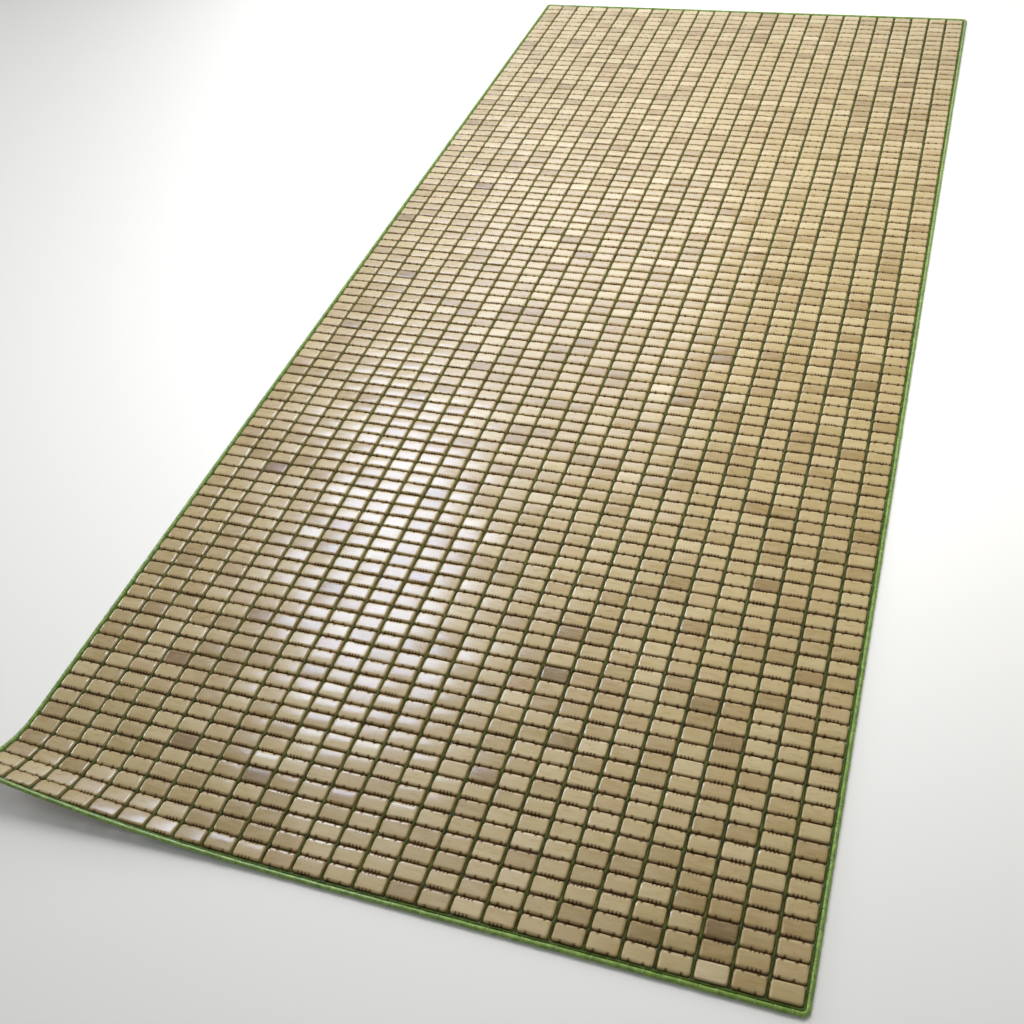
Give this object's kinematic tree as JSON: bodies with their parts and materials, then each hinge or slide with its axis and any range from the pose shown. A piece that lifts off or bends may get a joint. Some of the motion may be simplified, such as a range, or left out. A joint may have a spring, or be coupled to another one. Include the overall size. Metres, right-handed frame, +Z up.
{
  "type": "bamboo sleeping mat",
  "caption": "Flat sleeping mat of small crowned bamboo tiles strung in columns on green cords, with a thin dark cord and a thicker bright green cord round the edge and one corner curled up.",
  "frame": {"origin": "on the floor, in the middle of the mat's outline", "axes": "+Y along the mat's length away from the curled end, +X across its width, +Z up out of the tiled face"},
  "size_m": [0.9113, 2.0148, 0.0445],
  "materials": {
    "bamboo": "satin, carbonised bamboo with fine grain along each tile",
    "stringing_cord": "dark green smooth plastic cord",
    "edge_cord": "glossy mid green plastic cord"
  },
  "bodies": {
    "root": {"curled_tiles_01": "bamboo", "curled_tiles_02": "bamboo", "curled_tiles_03": "bamboo", "curled_tiles_04": "bamboo", "curled_tiles_05": "bamboo", "curled_tiles_06": "bamboo", "curled_tiles_07": "bamboo", "tile_column_01": "bamboo", "tile_column_02": "bamboo", "tile_column_03": "bamboo", "tile_column_04": "bamboo", "tile_column_05": "bamboo", "tile_column_06": "bamboo", "tile_column_07": "bamboo", "tile_column_08": "bamboo", "tile_column_09": "bamboo", "tile_column_10": "bamboo", "tile_column_11": "bamboo", "tile_column_12": "bamboo", "tile_column_13": "bamboo", "tile_column_14": "bamboo", "tile_column_15": "bamboo", "tile_column_16": "bamboo", "tile_column_17": "bamboo", "tile_column_18": "bamboo", "tile_column_19": "bamboo", "tile_column_20": "bamboo", "tile_column_21": "bamboo", "tile_column_22": "bamboo", "tile_column_23": "bamboo", "tile_column_24": "bamboo", "tile_column_25": "bamboo", "tile_column_26": "bamboo", "stringing_cord_01": "stringing_cord", "stringing_cord_02": "stringing_cord", "stringing_cord_03": "stringing_cord", "stringing_cord_04": "stringing_cord", "stringing_cord_05": "stringing_cord", "stringing_cord_06": "stringing_cord", "stringing_cord_07": "stringing_cord", "stringing_cord_08": "stringing_cord", "stringing_cord_09": "stringing_cord", "stringing_cord_10": "stringing_cord", "stringing_cord_11": "stringing_cord", "stringing_cord_12": "stringing_cord", "stringing_cord_13": "stringing_cord", "stringing_cord_14": "stringing_cord", "stringing_cord_15": "stringing_cord", "stringing_cord_16": "stringing_cord", "stringing_cord_17": "stringing_cord", "stringing_cord_18": "stringing_cord", "stringing_cord_19": "stringing_cord", "stringing_cord_20": "stringing_cord", "stringing_cord_21": "stringing_cord", "stringing_cord_22": "stringing_cord", "stringing_cord_23": "stringing_cord", "stringing_cord_24": "stringing_cord", "stringing_cord_25": "stringing_cord", "inner_edge_cord": "stringing_cord", "edge_cord": "edge_cord"}
  },
  "joints": []
}
